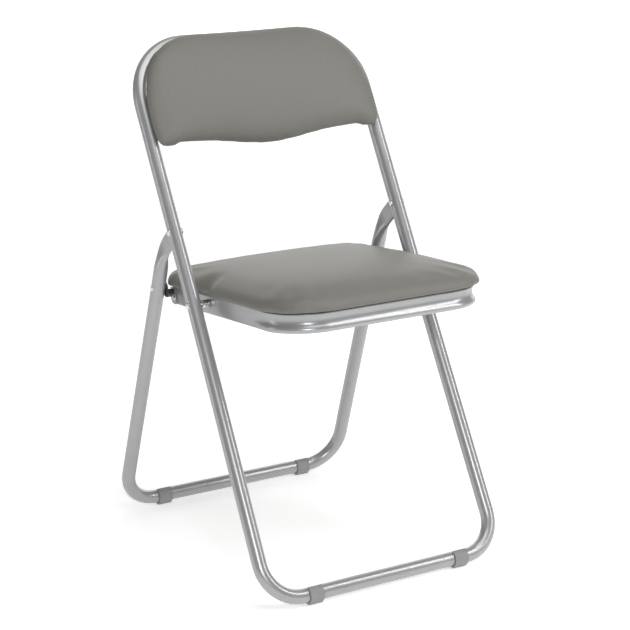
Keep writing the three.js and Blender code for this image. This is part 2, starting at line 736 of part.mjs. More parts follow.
const group = new THREE.Group();
const seatGroup = new THREE.Group();
seatGroup.position.copy(SEAT_PIVOT);
seatGroup.rotation.x = -SEAT_TILT;
group.add(seatGroup);

function put(parent, name, solid, look) {
  const mesh = new THREE.Mesh(geometryOf(solid), new THREE.MeshStandardMaterial(look));
  mesh.name = name;
  parent.add(mesh);
}

put(group, 'front_frame', frontFrame(), METAL);
put(group, 'rear_frame', rearFrame(), METAL);
put(group, 'backrest_board', backBoard(), BOARD);
put(group, 'backrest_pad', backPad(), VINYL);
put(seatGroup, 'seat_pan', seatPan(), METAL);
put(seatGroup, 'seat_board', seatBoard(), BOARD);
put(seatGroup, 'seat_pad', seatPad(), VINYL);
put(seatGroup, 'seat_rear_rod', rearRod(), DARK);

for (const [tag, side] of [['left', -1], ['right', 1]]) {
  put(group, `rear_pivot_rivet_${tag}`, rearPivotRivet(side), BRIGHT);
  put(group, `seat_pivot_rivet_${tag}`, seatPivotRivet(side), BRIGHT);
  put(group, `seat_pivot_spacer_${tag}`, seatSpacer(side), BRIGHT);
  put(group, `cradle_bracket_${tag}`, cradleBracket(side), DARK);
  put(group, `cradle_rivet_${tag}`, bracketRivet(side), BRIGHT);
  put(group, `front_foot_${tag}`, footClip(side * 130, -BAR_Y), PLASTIC);
  put(group, `rear_foot_${tag}`, footClip(side * 134, BAR_Y), PLASTIC);
  put(seatGroup, `rail_end_plate_${tag}`, railPlate(side), METAL);
  put(seatGroup, `rail_end_rivet_${tag}`, plateRivet(side), BRIGHT);
  LUG_S.forEach((s, i) => {
    put(group, `backrest_screw_${tag}_${i + 1}`, backScrew(side, s), BRIGHT);
  });
}
SEAT_SCREWS.forEach(([x, y], i) => {
  put(seatGroup, `seat_screw_${i + 1}`, seatScrew(x, y), BRIGHT);
});

export default group;
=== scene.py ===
"""Padded folding chair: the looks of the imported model, built in the order the chair is put together."""

import math

import bmesh
import bpy
from mathutils import Matrix, Vector
from mathutils.geometry import interpolate_bezier


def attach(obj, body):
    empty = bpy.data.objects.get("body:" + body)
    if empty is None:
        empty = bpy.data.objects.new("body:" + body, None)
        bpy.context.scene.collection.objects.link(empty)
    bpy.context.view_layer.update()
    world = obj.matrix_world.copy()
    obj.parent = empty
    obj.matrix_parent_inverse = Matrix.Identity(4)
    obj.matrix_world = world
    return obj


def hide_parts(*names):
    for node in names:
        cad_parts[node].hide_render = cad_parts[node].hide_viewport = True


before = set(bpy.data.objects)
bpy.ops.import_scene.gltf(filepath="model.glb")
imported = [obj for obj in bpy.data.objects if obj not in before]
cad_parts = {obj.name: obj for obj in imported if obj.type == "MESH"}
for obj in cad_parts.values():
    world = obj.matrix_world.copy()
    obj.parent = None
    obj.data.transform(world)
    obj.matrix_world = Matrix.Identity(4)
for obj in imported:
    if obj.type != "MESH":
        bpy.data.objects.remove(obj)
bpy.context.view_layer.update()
bpy.context.scene.view_settings.view_transform = "Standard"

# ---------------------------------------------------------------- front frame
# One loop of 22 mm steel tube: it stands on its lower bar, leans back and arches over the backrest.
# Bent cold on a former, slotted at the back for the rear legs' ends, and powder coated silver.
TUBE_R = 0.011
RING = 40
BAR_Z = 0.014
BAR_Y = 0.235
FRONT_LEAN = math.radians(29.9)
FOOT_HALF = 0.2055
LEG_HALF = 0.201
FLOOR_BEND = 0.058
ARCH_BEND = 0.101
ARCH_S = 0.875
SEAT_PIVOT_S = 0.4554
REAR_PIVOT_S = 0.5714
BACK_BOW = 0.010


class Value:
    """A shader number or colour: arithmetic on it adds Math nodes."""

    def __init__(self, finish, socket):
        self.finish = finish
        self.socket = socket

    def maths(self, operation, first, second):
        return self.finish.node("ShaderNodeMath", {"operation": operation}, {0: first, 1: second})

    def __add__(self, other):
        return self.maths("ADD", self, other)

    def __mul__(self, other):
        return self.maths("MULTIPLY", self, other)

    __radd__ = __add__
    __rmul__ = __mul__


class Finish:
    """One material. Sockets of its Principled shader are set by name; other nodes come from node()."""

    def __init__(self, name, **sockets):
        self.material = bpy.data.materials.new(name)
        self.material.use_nodes = True
        self.tree = self.material.node_tree
        self.shader = self.tree.nodes["Principled BSDF"]
        for key, value in sockets.items():
            self.feed(self.shader, key.replace("_", " "), value)

    def feed(self, node, key, value):
        if isinstance(value, Value):
            self.tree.links.new(value.socket, node.inputs[key])
        else:
            node.inputs[key].default_value = value

    def node(self, kind, settings=None, sockets=None, output=0):
        made = self.tree.nodes.new(kind)
        for key, value in (settings or {}).items():
            if key == "stops":
                self.set_stops(made.color_ramp, value)
            else:
                setattr(made, key, value)
        for key, value in (sockets or {}).items():
            self.feed(made, key, value)
        return Value(self, made.outputs[output])

    def set_stops(self, ramp, stops):
        while len(ramp.elements) < len(stops):
            ramp.elements.new(0.5)
        for element, (place, colour) in zip(ramp.elements, stops):
            element.position = place
            element.color = colour

    def place(self):
        return self.node("ShaderNodeTexCoord", output=3)

    def noise(self, scale, detail=3.0, rough=0.5, stretch=None):
        where = self.place()
        if stretch:
            where = self.node("ShaderNodeMapping", sockets={0: where, 3: stretch})
        return self.node("ShaderNodeTexNoise", sockets={"Vector": where, "Scale": scale,
                                                        "Detail": detail, "Roughness": rough})

    def blend(self, share, first, second):
        return self.node("ShaderNodeMix", {"data_type": "RGBA"}, {0: share, 6: first, 7: second}, output=2)

    def bump(self, height, strength, distance):
        normal = self.node("ShaderNodeBump", sockets={"Height": height, "Strength": strength,
                                                      "Distance": distance})
        self.feed(self.shader, "Normal", normal)


def silver_paint():
    finish = Finish("silver_powder_coat", Metallic=0.50, IOR=1.5)
    flake = finish.noise(2600.0, 2.0)
    cloud = finish.noise(22.0, 3.0)
    finish.feed(finish.shader, "Base Color",
                finish.blend(cloud, (0.345, 0.348, 0.354, 1), (0.395, 0.398, 0.404, 1)))
    finish.feed(finish.shader, "Roughness", cloud * 0.06 + flake * 0.06 + 0.23)
    finish.bump(finish.noise(900.0, 2.0) + flake * 0.3, 0.10, 0.0002)
    return finish.material


SILVER = silver_paint()


def deselect():
    if bpy.context.object and bpy.context.object.mode != "OBJECT":
        bpy.ops.object.mode_set(mode="OBJECT")
    bpy.ops.object.select_all(action="DESELECT")


def picked_middle(piece):
    """Middle of the selected points, in the piece's own space."""
    points = [v.co for v in bmesh.from_edit_mesh(piece.data).verts if v.select]
    return sum(points, Vector()) / len(points)


def start_ring(name):
    """A ring round the X axis, in edit mode with all its points selected."""
    deselect()
    bpy.ops.mesh.primitive_circle_add(vertices=RING, radius=TUBE_R, rotation=(0, math.pi / 2, 0))
    piece = bpy.context.object
    piece.name = name
    bpy.ops.object.transform_apply(location=True, rotation=True, scale=True)
    bpy.ops.object.mode_set(mode="EDIT")
    bpy.ops.mesh.select_all(action="SELECT")
    return piece


def run_on(step, steps=1):
    """Draws the selected ring on along a straight line."""
    for _ in range(steps):
        bpy.ops.mesh.extrude_region_move(TRANSFORM_OT_translate={"value": Vector(step) / steps})


def bend_ring(piece, centre, axis, angle, steps):
    """Draws the selected ring round a bend, right-handed about the axis."""
    turn = Matrix.Rotation(angle / steps, 4, axis)
    about = Matrix.Translation(centre) @ turn @ Matrix.Translation(-Vector(centre))
    for _ in range(steps):
        bpy.ops.mesh.extrude_region_move()
        points = bmesh.from_edit_mesh(piece.data)
        for v in points.verts:
            if v.select:
                v.co = about @ v.co
        bmesh.update_edit_mesh(piece.data)


def apply_modifier(piece, kind, **settings):
    deselect()
    bpy.context.view_layer.objects.active = piece
    piece.select_set(True)
    modifier = piece.modifiers.new(kind.lower(), kind)
    for key, value in settings.items():
        setattr(modifier, key, value)
    bpy.ops.object.modifier_apply(modifier=modifier.name)


def settle(piece, move=(0, 0, 0), turn=(0, 0, 0)):
    """Turns and moves a piece into place, and leaves its object at the origin."""
    deselect()
    bpy.context.view_layer.objects.active = piece
    piece.select_set(True)
    piece.rotation_mode = "XYZ"
    piece.rotation_euler = turn
    piece.location = move
    bpy.ops.object.transform_apply(location=True, rotation=True, scale=True)


def tidy_mesh(piece, angle=35):
    """Merges doubles, turns all faces outwards and smooths all but the sharp edges."""
    deselect()
    bpy.context.view_layer.objects.active = piece
    piece.select_set(True)
    bpy.ops.object.mode_set(mode="EDIT")
    bpy.ops.mesh.select_all(action="SELECT")
    bpy.ops.mesh.remove_doubles(threshold=0.00001)
    bpy.ops.mesh.normals_make_consistent(inside=False)
    bpy.ops.object.mode_set(mode="OBJECT")
    bpy.ops.object.shade_smooth_by_angle(angle=math.radians(angle))


def hand_over(piece, body, material, slot, *nodes):
    """Gives a finished piece its material, its body and the CAD nodes it stands for."""
    piece.data.materials.clear()
    piece.data.materials.append(material)
    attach(piece, body)
    if nodes:
        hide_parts(*nodes)


def floor_corner(piece, reach):
    """Draws the ring from the bar's middle round the floor bend and up the leg to a height."""
    leg = (Vector((LEG_HALF, 0, reach)) - Vector((FOOT_HALF, 0, 0))).normalized()
    turn = math.atan2(leg.z, leg.x)
    tangent = FLOOR_BEND * math.tan(turn / 2)
    run_on((FOOT_HALF - tangent, 0, 0), 2)
    bend_ring(piece, (FOOT_HALF - tangent, 0, FLOOR_BEND), "Y", -turn, 18)
    run_on(Vector((LEG_HALF, 0, reach)) - picked_middle(piece), 3)


def bow(x):
    return BACK_BOW * (1 - (x / LEG_HALF) ** 2)


def cut(piece, cutter):
    apply_modifier(piece, "BOOLEAN", operation="DIFFERENCE", solver="EXACT", object=cutter)
    bpy.data.objects.remove(cutter)


def rounded_box(name, size, at, radius, segments=4):
    """A box with its long edges rounded, at its place."""
    deselect()
    bpy.ops.mesh.primitive_cube_add(size=1, location=at, scale=size)
    box = bpy.context.object
    box.name = name
    bpy.ops.object.transform_apply(location=True, rotation=True, scale=True)
    apply_modifier(box, "BEVEL", width=radius, segments=segments, limit_method="ANGLE")
    return box


SLOT_SIZE = (0.0062, 0.020, 0.077)
SLOT_BACK = 0.0105
SLOT_BELOW_PIVOT = 0.0255
SLOT_CORNER = 0.003
LUG_X = 0.183
LUG_S = (0.724, 0.778)
LUG_SIZE = (0.024, 0.002, 0.018)
LUG_BACK = 0.0080
LUG_CORNER = 0.0008
WELD_SIZE = (0.004, 0.004, 0.016)
WELD_X = LEG_HALF - 0.0105
WELD_BACK = 0.0066
WELD_CORNER = 0.0016


def front_tube():
    tube = start_ring("front_frame_tube")
    floor_corner(tube, SEAT_PIVOT_S)
    run_on((0, 0, ARCH_S - ARCH_BEND - SEAT_PIVOT_S), 4)
    bend_ring(tube, (LEG_HALF - ARCH_BEND, 0, ARCH_S - ARCH_BEND), "Y", -math.pi / 2, 24)
    run_on((ARCH_BEND - LEG_HALF, 0, 0), 8)
    bpy.ops.object.mode_set(mode="OBJECT")
    for v in tube.data.vertices:
        if v.co.z > SEAT_PIVOT_S:
            v.co.y += bow(min(v.co.x, LEG_HALF))
    apply_modifier(tube, "MIRROR", use_mirror_merge=True, merge_threshold=0.0001)
    tidy_mesh(tube)
    for side in (-1, 1):
        at = (side * LEG_HALF, SLOT_BACK, REAR_PIVOT_S - SLOT_BELOW_PIVOT)
        cut(tube, rounded_box("slot", SLOT_SIZE, at, SLOT_CORNER))
    return tube


def lug(side, s):
    """Pressed tab welded to the inside of the upright, drilled for a backrest screw."""
    plate_at = (side * (LUG_X + LUG_SIZE[1]), bow(LUG_X) - LUG_BACK, s)
    bead_at = (side * WELD_X, bow(LUG_X) - WELD_BACK, s)
    return [rounded_box("lug", LUG_SIZE, plate_at, LUG_CORNER, 2),
            rounded_box("weld", WELD_SIZE, bead_at, WELD_CORNER)]


frame_loop = front_tube()
lugs = [part for side in (-1, 1) for s in LUG_S for part in lug(side, s)]
deselect()
for part in lugs:
    part.select_set(True)
frame_loop.select_set(True)
bpy.context.view_layer.objects.active = frame_loop
bpy.ops.object.join()
settle(frame_loop, (0, -BAR_Y, BAR_Z), (-FRONT_LEAN, 0, 0))
tidy_mesh(frame_loop)
hand_over(frame_loop, "front_frame", SILVER, "frame_paint", "front_frame")

# ----------------------------------------------------------------- rear frame
# A U of the same tube. Its two upper ends bend forward, are pressed flat to 5 mm and rounded off,
# and turn on a rivet inside the slots of the front frame.
REAR_LEAN = math.radians(17.8)
NECK_TURN = math.radians(46 - 17.8)
NECK_BEND = 0.060
NECK_RUN = 0.060
TONGUE_R = 0.009
TONGUE_STEPS = (0.003, 0.0025, 0.002, 0.0010, 0.0004)
PRESSED = 0.0025
PRESSED_WIDE = 0.015
PRESSED_THIN_UNTIL, PRESSED_THIN_ROUND = 0.040, 0.084
PRESSED_WIDE_FROM = 0.022
PRESSED_WIDE_UNTIL, PRESSED_WIDE_ROUND = 0.044, 0.086


def ease(value, start, end, low, high):
    share = min(max((value - start) / (end - start), 0), 1)
    return low + (high - low) * share * share * (3 - 2 * share)


def leg_section(u):
    """Half thickness and half width of the leg at a distance u below the rear pivot."""
    thick = ease(u, PRESSED_THIN_UNTIL, PRESSED_THIN_ROUND, PRESSED, TUBE_R)
    if u < 0:
        return thick, math.sqrt(max(TONGUE_R ** 2 - u * u, 1e-7))
    wide = ease(u, 0, PRESSED_WIDE_FROM, TONGUE_R, PRESSED_WIDE)
    return thick, wide + ease(u, PRESSED_WIDE_UNTIL, PRESSED_WIDE_ROUND, 0, TUBE_R - PRESSED_WIDE)


def front_point(x, s, n=0.0):
    """x across, s up along the front frame, n in front of it."""
    along = Vector((0, math.sin(FRONT_LEAN), math.cos(FRONT_LEAN)))
    ahead = Vector((0, -math.cos(FRONT_LEAN), math.sin(FRONT_LEAN)))
    return Vector((x, -BAR_Y, BAR_Z)) + along * s + ahead * n


def press_ring(piece, pivot, direction, last):
    """Presses the selected ring from the last ring's section to the leg's section at its place."""
    middle = picked_middle(piece)
    thick, wide = leg_section((pivot - middle).dot(direction))
    flatter, wider = thick / last[0], wide / last[1]
    points = bmesh.from_edit_mesh(piece.data)
    for v in points.verts:
        if v.select:
            arm = v.co - middle
            v.co = middle + Vector((arm.x * flatter, arm.y * wider, arm.z * wider))
    bmesh.update_edit_mesh(piece.data)
    return thick, wide


def rear_tube():
    lean = Matrix.Rotation(-REAR_LEAN, 3, "X")
    pivot = lean @ (front_point(LEG_HALF, REAR_PIVOT_S) - Vector((0, BAR_Y, BAR_Z)))
    direction = Vector((0, -math.sin(NECK_TURN), math.cos(NECK_TURN)))
    corner = pivot.z + pivot.y / math.tan(NECK_TURN)
    tangent = NECK_BEND * math.tan(NECK_TURN / 2)
    tube = start_ring("rear_frame_tube")
    floor_corner(tube, corner - NECK_RUN)
    steps = [("run", (0, 0, (NECK_RUN - tangent) / 6))] * 6
    steps += [("bend", NECK_TURN / 10)] * 10
    neck = (pivot.y + tangent * math.sin(NECK_TURN)) / math.sin(NECK_TURN)
    steps += [("run", direction * (-neck / 8))] * 8
    steps += [("run", direction * step) for step in TONGUE_STEPS]
    section = (TUBE_R, TUBE_R)
    for kind, amount in steps:
        if kind == "run":
            run_on(amount)
        else:
            bend_ring(tube, (LEG_HALF, -NECK_BEND, corner - tangent), "X", amount, 1)
        section = press_ring(tube, pivot, direction, section)
    bpy.ops.mesh.edge_face_add()
    apply_modifier(tube, "MIRROR", use_mirror_merge=True, merge_threshold=0.0001)
    return tube


rear_loop = rear_tube()
settle(rear_loop, (0, BAR_Y, BAR_Z), (REAR_LEAN, 0, 0))
tidy_mesh(rear_loop, 50)
hand_over(rear_loop, "rear_frame", SILVER, "frame_paint", "rear_frame")

# ------------------------------------------------------------------------ feet
# Four grey moulded clips snapped onto the floor bars: each wraps the bar's front side and bottom,
# stands on a flat ribbed base and keeps the steel off the floor.
FOOT_HALF_LONG = 0.012
FOOT_INNER = 0.0113
FOOT_OUTER = 0.0136
FOOT_BASE = 0.0065
FOOT_X = {"front": 0.130, "rear": 0.134}
FOOT_EDGE = 0.0006
GROOVE_SIZE = (0.0016, 0.040, 0.0012)
GROOVE_PITCH = 0.006
GROOVE_CORNER = 0.0004


def arc(centre, radius, start, end, steps):
    """Points of an arc in a plane, its angles in degrees."""
    turns = [math.radians(start + (end - start) * i / steps) for i in range(steps + 1)]
    return [(centre[0] + radius * math.cos(t), centre[1] + radius * math.sin(t)) for t in turns]


def cut_out(name, outline, depth, place):
    """A flat piece: its outline drawn point by point, filled, and drawn out to its depth.
    place() turns a point of the outline and a depth into a point of the chair."""
    deselect()
    bpy.ops.mesh.primitive_plane_add(size=0.001)
    piece = bpy.context.object
    piece.name = name
    bpy.ops.object.mode_set(mode="EDIT")
    bpy.ops.mesh.select_all(action="SELECT")
    bpy.ops.mesh.merge(type="CENTER")
    start = Vector((*outline[0], 0))
    bpy.ops.transform.translate(value=start)
    for point in outline[1:]:
        step = Vector((*point, 0)) - start
        bpy.ops.mesh.extrude_region_move(TRANSFORM_OT_translate={"value": step})
        start = Vector((*point, 0))
    bpy.ops.mesh.select_all(action="SELECT")
    bpy.ops.mesh.edge_face_add()
    bpy.ops.mesh.extrude_region_move(TRANSFORM_OT_translate={"value": (0, 0, depth)})
    bpy.ops.object.mode_set(mode="OBJECT")
    for v in piece.data.vertices:
        v.co = place(v.co.x, v.co.y, v.co.z)
    return piece


def soften(piece, width, segments=2, angle=40):
    apply_modifier(piece, "BEVEL", width=width, segments=segments, limit_method="ANGLE",
                   angle_limit=math.radians(angle))


def foot_plastic():
    finish = Finish("grey_moulded_plastic", IOR=1.46)
    cloud = finish.noise(60.0, 3.0)
    scuff = finish.noise(420.0, 4.0, 0.65, (1.0, 1.0, 5.0))
    finish.feed(finish.shader, "Base Color",
                finish.blend(cloud, (0.235, 0.236, 0.236, 1), (0.275, 0.276, 0.276, 1)))
    finish.feed(finish.shader, "Roughness", scuff * 0.20 + 0.46)
    finish.bump(scuff, 0.12, 0.0003)
    return finish.material


FOOT_GREY = foot_plastic()


def foot(name, x, y, body):
    outline = arc((0, 0), FOOT_OUTER, 100, 238, 20)
    outline += [(-FOOT_BASE, -BAR_Z), (FOOT_BASE, -BAR_Z)]
    outline += arc((0, 0), FOOT_OUTER, 302, 350, 8) + arc((0, 0), FOOT_INNER, 350, 100, 34)
    clip = cut_out(name + "_clip", outline, 2 * FOOT_HALF_LONG,
                   lambda a, b, d: Vector((x - FOOT_HALF_LONG + d, y + a, BAR_Z + b)))
    tidy_mesh(clip)
    soften(clip, FOOT_EDGE)
    for place in (-1, 0, 1):
        cut(clip, rounded_box("groove", GROOVE_SIZE, (x + place * GROOVE_PITCH, y, 0), GROOVE_CORNER, 2))
    tidy_mesh(clip)
    hand_over(clip, body, FOOT_GREY, "foot_plastic", name)


for side, hand in ((-1, "left"), (1, "right")):
    foot("front_foot_" + hand, side * FOOT_X["front"], -BAR_Y, "front_frame")
    foot("rear_foot_" + hand, side * FOOT_X["rear"], BAR_Y, "rear_frame")

# ---------------------------------------------------------------------- rivets
# Zinc-plated steel rivets with domed heads: two pairs are the chair's hinges, the others hold the
# cradles and the rail plates. A spacer ring keeps the seat rail clear of the front leg.
SEAT_TILT = math.radians(5.3)
PAN_HALF = 0.176
SHEET = 0.0015
GAP = 0.0003
LEG_STRAIGHT = 0.422
CRADLE_T = 0.4155
PLATE_RIVET_Y, PLATE_RIVET_Z = 0.1089, -0.0072
PIVOT_HEAD, PIVOT_SHANK = 0.0052, 0.003
CRADLE_HEAD, PLATE_HEAD, SMALL_SHANK = 0.0044, 0.0039, 0.0024
CRADLE_GRIP = 0.0024
HEAD_HIGH, PLATE_HEAD_HIGH = 0.0014, 0.0016
SPACER_BORE, SPACER_R, SPACER_EDGE = 0.0032, 0.006, 0.0006


def turned(name, rings, at, turn=(0, 0, 0), sides=32):
    """A turned part, closed at both ends: rings of (radius, distance along its own Z)."""
    deselect()
    bpy.ops.mesh.primitive_circle_add(vertices=sides, radius=rings[0][0], fill_type="NGON")
    piece = bpy.context.object
    piece.name = name
    bpy.ops.object.mode_set(mode="EDIT")
    bpy.ops.mesh.select_all(action="SELECT")
    bpy.ops.transform.translate(value=(0, 0, rings[0][1]))
    for (before, _), (radius, height) in zip(rings, rings[1:]):
        bpy.ops.mesh.extrude_region_move()
        points = bmesh.from_edit_mesh(piece.data)
        for v in points.verts:
            if v.select:
                v.co = Vector((v.co.x * radius / before, v.co.y * radius / before, height))
        bmesh.update_edit_mesh(piece.data)
    bpy.ops.object.mode_set(mode="OBJECT")
    settle(piece, at, turn)
    tidy_mesh(piece)
    return piece


def dome(radius, height, steps=6):
    """Rings of a round head, from its top down to its rim at distance 0."""
    turns = [math.pi / 2 * (i + 0.4) / (steps + 0.4) for i in range(steps)] + [math.pi / 2]
    return [(radius * math.sin(t), height * math.cos(t)) for t in turns]


def zinc_steel():
    finish = Finish("zinc_plated_steel", Metallic=1.0)
    cloud = finish.noise(240.0, 3.0)
    finish.feed(finish.shader, "Base Color",
                finish.blend(cloud, (0.62, 0.62, 0.61, 1), (0.74, 0.74, 0.73, 1)))
    finish.feed(finish.shader, "Roughness", cloud * 0.16 + 0.20)
    finish.bump(cloud, 0.08, 0.0002)
    return finish.material


ZINC = zinc_steel()
OUTWARD = {-1: (0, -math.pi / 2, 0), 1: (0, math.pi / 2, 0)}


def seat_point(x, y, z):
    """A point of the seat's own plane: y rearwards and z up from the seat pivot."""
    return front_point(x, SEAT_PIVOT_S) + Matrix.Rotation(-SEAT_TILT, 3, "X") @ Vector((0, y, z))


def rear_point(t):
    return Vector((0, BAR_Y - t * math.sin(REAR_LEAN), BAR_Z + t * math.cos(REAR_LEAN)))


def rivet(name, side, middle, skin, tail, head, shank, body, high=HEAD_HIGH):
    """A rivet along X: domed head on the skin, shank, and a flat set head past the tail."""
    set_head = shank * 1.45
    rings = [(r, skin + h) for r, h in dome(head, high)]
    rings += [(head, skin - 0.0004), (head * 0.9, skin - 0.0022), (shank, skin - 0.0023), (shank, tail)]
    rings += [(set_head, tail - 0.0001), (set_head, tail - 0.0009), (set_head * 0.8, tail - 0.0013)]
    piece = turned(name + "_steel", rings, (0, middle.y, middle.z), OUTWARD[side])
    hand_over(piece, body, ZINC, "rivet_steel", name)


def leg_at(t):
    """Half the distance between the rear legs at a height along them."""
    return FOOT_HALF + (LEG_HALF - FOOT_HALF) * min(t / LEG_STRAIGHT, 1)


SKIN = LEG_HALF + TUBE_R
INNER_SKIN = LEG_HALF - TUBE_R
RAIL_FACE = PAN_HALF + GAP
RAIL_BACK = PAN_HALF - SHEET - GAP
LEG_FACE = leg_at(CRADLE_T)
for side, hand in ((-1, "left"), (1, "right")):
    rivet("rear_pivot_rivet_" + hand, side, front_point(0, REAR_PIVOT_S), SKIN, INNER_SKIN - GAP,
          PIVOT_HEAD, PIVOT_SHANK, "front_frame")
    rivet("seat_pivot_rivet_" + hand, side, front_point(0, SEAT_PIVOT_S), SKIN, RAIL_BACK,
          PIVOT_HEAD, PIVOT_SHANK, "front_frame")
    rivet("cradle_rivet_" + hand, side, rear_point(CRADLE_T), LEG_FACE + TUBE_R,
          LEG_FACE - TUBE_R - CRADLE_GRIP, CRADLE_HEAD, SMALL_SHANK, "rear_frame")
    rivet("rail_end_rivet_" + hand, side, seat_point(0, PLATE_RIVET_Y, PLATE_RIVET_Z),
          RAIL_FACE + SHEET + GAP, RAIL_BACK, PLATE_HEAD, SMALL_SHANK, "seat", PLATE_HEAD_HIGH)
    ring = [(SPACER_BORE, RAIL_FACE), (SPACER_R - SPACER_EDGE, RAIL_FACE),
            (SPACER_R, RAIL_FACE + SPACER_EDGE), (SPACER_R, INNER_SKIN - GAP - SPACER_EDGE),
            (SPACER_R - SPACER_EDGE, INNER_SKIN - GAP), (SPACER_BORE, INNER_SKIN - GAP)]
    spacer = turned("spacer_ring_" + hand, ring, front_point(0, SEAT_PIVOT_S), OUTWARD[side], 40)
    hand_over(spacer, "front_frame", ZINC, "rivet_steel", "seat_pivot_spacer_" + hand)

# -------------------------------------------------------------------- seat pan
# Sheet steel, 1.5 mm, pressed to a tray with a rolled rim: a lip under the pad, a hollow, and a
# round bead that dies out along the straight side rails. Painted with the frame.
PAN_FRONT = -0.232
PAN_REAR = 0.1205
PAN_TOP = 0.0115
PAN_BOTTOM = -0.0173
PAN_CORNERS = (0.068, 0.006)
RAIL_CORNER = 0.011
BEAD_FADES = (-0.185, -0.125)
RIM = ((-0.0500, 0.0112), (-0.0490, 0.0115), (-0.0200, 0.0115), (-0.0030, 0.0115), (-0.0008, 0.0114),
       (0.0008, 0.0110), (0.0016, 0.0102), (0.0017, 0.0092), (0.0010, 0.0080), (0.0000, 0.0064),
       (-0.0007, 0.0040), (-0.0010, 0.0010), (-0.0009, -0.0022), (-0.0002, -0.0048), (0.0012, -0.0068),
       (0.0027, -0.0086), (0.0036, -0.0108), (0.0037, -0.0128), (0.0030, -0.0148), (0.0016, -0.0164),
       (-0.0004, -0.0172), (-0.0040, -0.0173), (-0.0080, -0.0170), (-0.0098, -0.0156), (-0.0098, -0.0140))
RAIL_OUT = (-0.0500, -0.0490, -0.0200, -0.0030, -0.0012, -0.0004, 0, 0, 0, 0, 0, 0, 0, 0, 0, 0, 0, 0,
            -0.0002, -0.0008, -0.0020, -0.0045, -0.0080, -0.0098, -0.0098)


def plan(half, front, rear, corners, along=0.012):
    """Points of a rounded plan, anticlockwise, closely spaced along its straight sides."""
    points = []
    for x, y, radius, start in ((half, front, corners[0], -90), (half, rear, corners[1], 0),
                                (-half, rear, corners[1], 90), (-half, front, corners[0], 180)):
        centre = (x - math.copysign(radius, x), y - math.copysign(radius, y))
        bend = arc(centre, radius, start, start + 90, max(6, int(radius / 0.004)))
        if points:
            last, first = Vector(points[-1]), Vector(bend[0])
            runs = max(1, int((first - last).length / along))
            points += [tuple(last.lerp(first, i / runs)) for i in range(1, runs)]
        points += bend
    return points


def outward(x, y):
    """Direction straight out of the pan's plan at one of its points."""
    front_r, rear_r = PAN_CORNERS
    if y < PAN_FRONT + front_r:
        core = Vector((max(min(x, PAN_HALF - front_r), front_r - PAN_HALF), PAN_FRONT + front_r))
    elif y > PAN_REAR - rear_r:
        core = Vector((max(min(x, PAN_HALF - rear_r), rear_r - PAN_HALF), PAN_REAR - rear_r))
    else:
        core = Vector((0, y))
    return (Vector((x, y)) - core).normalized()


def rail_rise(y, z):
    """The side rails' lower rear corner is rounded off."""
    over = y - (PAN_REAR - RAIL_CORNER)
    if over <= 0:
        return z
    return max(z, PAN_BOTTOM + RAIL_CORNER - math.sqrt(max(RAIL_CORNER ** 2 - over ** 2, 0)))


def rim_ring(piece, base, i):
    """Moves the selected ring to the rim section's i-th place, flatter along the rails."""
    points = bmesh.from_edit_mesh(piece.data)
    key = points.verts.layers.int["station"]
    for v in points.verts:
        if v.select:
            x, y = base[v[key]]
            share = ease(y, *BEAD_FADES, 1, 0)
            step = RIM[i][0] * share + RAIL_OUT[i] * (1 - share)
            way = outward(x, y)
            v.co = Vector((x + way.x * step, y + way.y * step, rail_rise(y, RIM[i][1])))
    bmesh.update_edit_mesh(piece.data)


def seat_pan():
    base = plan(PAN_HALF, PAN_FRONT, PAN_REAR, PAN_CORNERS)
    deselect()
    bpy.ops.mesh.primitive_circle_add(vertices=len(base), radius=0.1)
    pan = bpy.context.object
    pan.name = "seat_pan_pressing"
    bpy.ops.object.mode_set(mode="EDIT")
    bpy.ops.mesh.select_all(action="SELECT")
    points = bmesh.from_edit_mesh(pan.data)
    key = points.verts.layers.int.new("station")
    points.verts.ensure_lookup_table()
    for i, v in enumerate(points.verts):
        v[key] = i
    bmesh.update_edit_mesh(pan.data)
    rim_ring(pan, base, 0)
    for i in range(1, len(RIM)):
        bpy.ops.mesh.extrude_region_move()
        rim_ring(pan, base, i)
    bpy.ops.object.mode_set(mode="OBJECT")
    tidy_mesh(pan)
    apply_modifier(pan, "SOLIDIFY", thickness=SHEET * 0.7, offset=-1)
    settle(pan, front_point(0, SEAT_PIVOT_S), (-SEAT_TILT, 0, 0))
    tidy_mesh(pan, 40)
    hand_over(pan, "seat", SILVER, "frame_paint", "seat_pan")


seat_pan()


PLATE_LONG = 0.017
PLATE_CORNER = 0.010
PLATE_LOW = PAN_BOTTOM + 0.0005
PLATE_HIGH = PAN_TOP - 0.002
PLATE_REAR = PAN_REAR - 0.0005


def rail_plate(side, hand):
    """Doubling plate riveted to the outside of a rail's rear end."""
    outline = [(PLATE_REAR - PLATE_LONG, PLATE_LOW)]
    outline += arc((PLATE_REAR - PLATE_CORNER, PLATE_LOW + PLATE_CORNER), PLATE_CORNER, -90, 0, 10)
    outline += [(PLATE_REAR, PLATE_HIGH), (PLATE_REAR - PLATE_LONG, PLATE_HIGH)]
    start = RAIL_FACE if side > 0 else -RAIL_FACE - SHEET
    plate = cut_out("rail_plate_" + hand, outline, SHEET, lambda a, b, d: seat_point(start + d, a, b))
    tidy_mesh(plate)
    soften(plate, 0.0004)
    tidy_mesh(plate)
    hand_over(plate, "seat", SILVER, "frame_paint", "rail_end_plate_" + hand)


# ------------------------------------------------------- seat rod and cradles
# A 10 mm rod crosses the seat's rear end. Its ends drop into two folded steel cradles riveted to
# the rear legs, which lock the open chair; both get a near-black colour that is painted shade.
ROD_Y, ROD_Z, ROD_R, ROD_HALF = 0.1125, 0.0025, 0.005, 0.1855
ROD_EDGE = 0.0008
TROUGH_R = 0.0054
TROUGH_OUT = 0.0074
TROUGH_INNER = 0.1806
CRADLE_SHEET = 0.0018
CRADLE_END = 0.008


